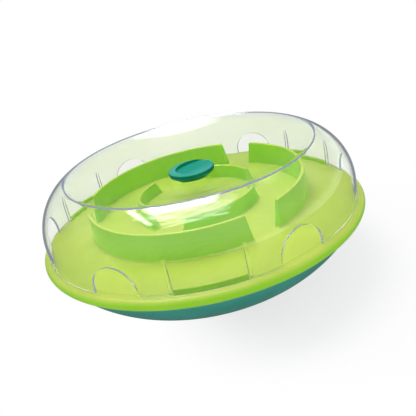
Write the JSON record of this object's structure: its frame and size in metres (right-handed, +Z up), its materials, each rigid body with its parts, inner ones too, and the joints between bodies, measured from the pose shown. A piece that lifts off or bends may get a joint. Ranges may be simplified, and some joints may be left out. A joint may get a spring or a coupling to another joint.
{
  "type": "treat-dispensing wobble bowl",
  "caption": "Round-bottomed pet treat bowl: maze tray on a rocking base, under a clear lift-off dome with arched openings and a pull-out filling plug.",
  "frame": {"origin": "on the bowl's axis, in the plane of the small flat that it stands on, at the bottom centre of its box", "axes": "+Z up along the bowl's axis; +X towards the middle of an arch in the dome's foot; -Y towards the lug that faces the camera in the picture"},
  "size_m": [0.28, 0.28, 0.118],
  "materials": {
    "base_plastic": "satin",
    "tray_plastic": "satin",
    "clear_plastic": "clear gloss",
    "plug_rubber": "satin",
    "ballast_steel": "zinc plated",
    "screw_steel": "zinc plated"
  },
  "bodies": {
    "tray_base": {"base_shell": "base_plastic", "ballast_weight": "ballast_steel", "ballast_screws": "screw_steel", "maze_tray": "tray_plastic", "base_screws": "screw_steel"},
    "dome": {"dome": "clear_plastic"},
    "plug": {"fill_plug": "plug_rubber"}
  },
  "joints": [
    {"name": "dome_lift", "type": "slide", "parent": "tray_base", "child": "dome", "axis": [0, 0, 1], "range_m": [0, 0.04]},
    {"name": "plug_pull", "type": "slide", "parent": "dome", "child": "plug", "axis": [0, 0, 1], "range_m": [0, 0.03]}
  ]
}
